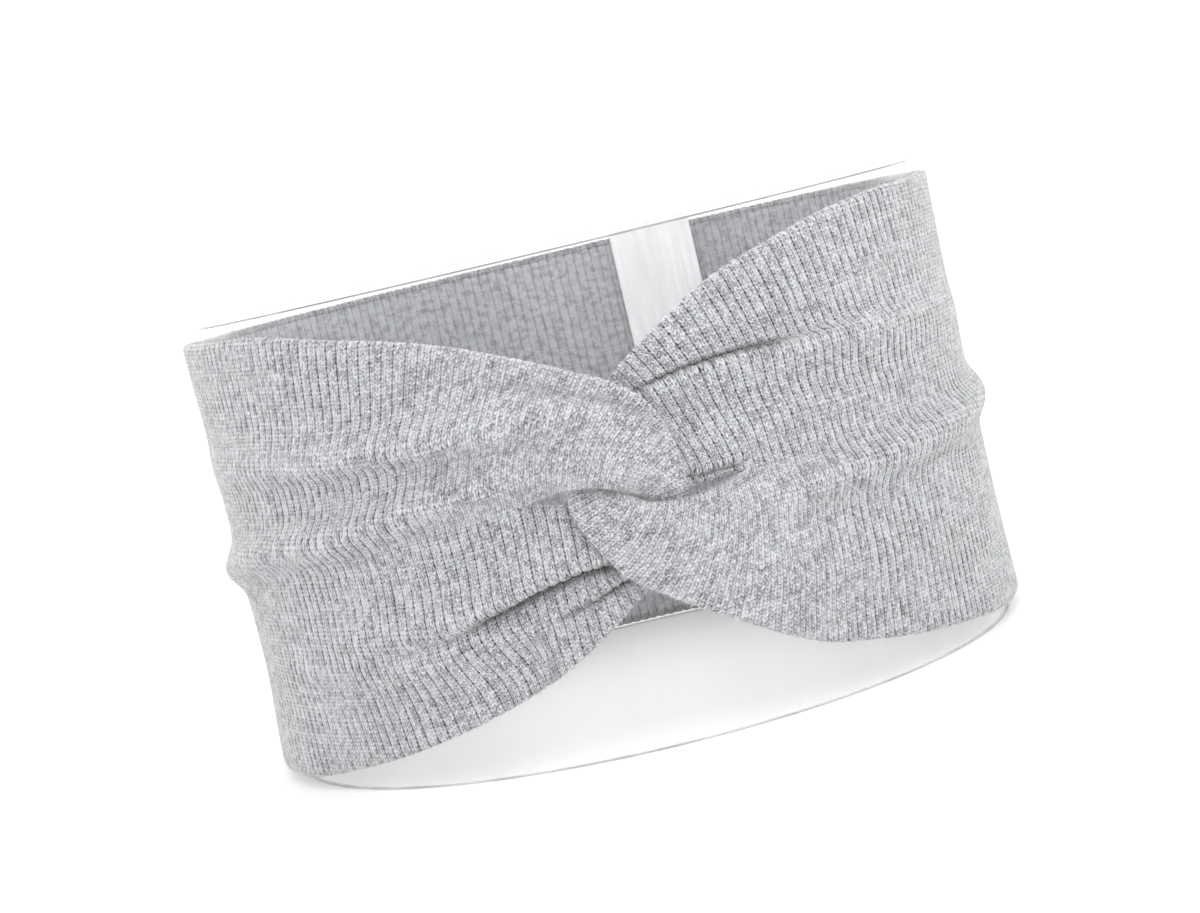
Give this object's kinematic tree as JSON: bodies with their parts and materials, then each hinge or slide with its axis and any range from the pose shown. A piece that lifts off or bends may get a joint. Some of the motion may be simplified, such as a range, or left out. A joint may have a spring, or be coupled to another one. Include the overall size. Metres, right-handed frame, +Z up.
{
  "type": "twist-front knit headband on a clear display ring",
  "caption": "Wide rib-knit headband with a hooked twist at the front, held open on a clear film ring that stands on its lower rim.",
  "frame": {"origin": "middle of the bottom of the whole object's box, on the plane that the ring stands on", "axes": "+Z up along the axis of the ring, -Y towards the twist at the front, +X to the right as seen from the front"},
  "size_m": [0.1828, 0.1844, 0.107],
  "materials": {
    "knit": "matt rib knit, light grey melange, double layer with folded edges",
    "clear_film": "clear glossy film",
    "tape": "satin white, slightly see-through"
  },
  "bodies": {
    "root": {"knit_band": "knit", "display_hoop": "clear_film", "joining_tape": "tape"}
  },
  "joints": []
}
